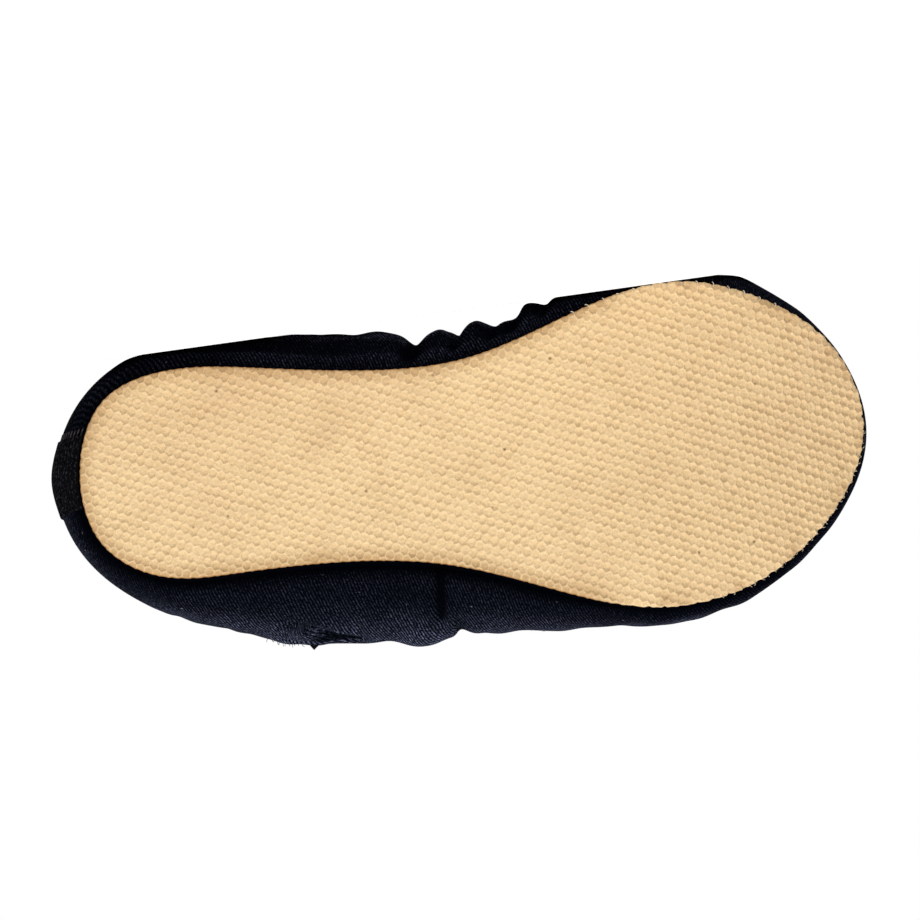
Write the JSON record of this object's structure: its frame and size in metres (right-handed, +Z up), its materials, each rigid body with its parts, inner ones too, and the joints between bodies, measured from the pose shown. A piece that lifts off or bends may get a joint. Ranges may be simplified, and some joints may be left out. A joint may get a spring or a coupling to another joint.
{
  "type": "gymnastics slipper",
  "caption": "Soft cloth gym slipper for a child's left foot, with a dimpled rubber sole, a hollow cloth upper, an insole and a ribbed heel tape, lying on its inner side.",
  "frame": {"origin": "on the floor, under the middle of the lying shoe's box", "axes": "+Z up; -X is roughly the way from heel to toe, and -Y roughly the way the sole faces; the shoe's inner side is down"},
  "size_m": [0.1894, 0.0506, 0.0788],
  "materials": {
    "natural_rubber": "matt natural tan",
    "cotton_twill": "blue-black cotton twill",
    "natural_canvas": "undyed cotton canvas",
    "ribbed_tape": "black ribbed woven tape"
  },
  "bodies": {
    "root": {"outsole": "natural_rubber", "upper": "cotton_twill", "insole": "natural_canvas", "heel_tape": "ribbed_tape"}
  },
  "joints": []
}
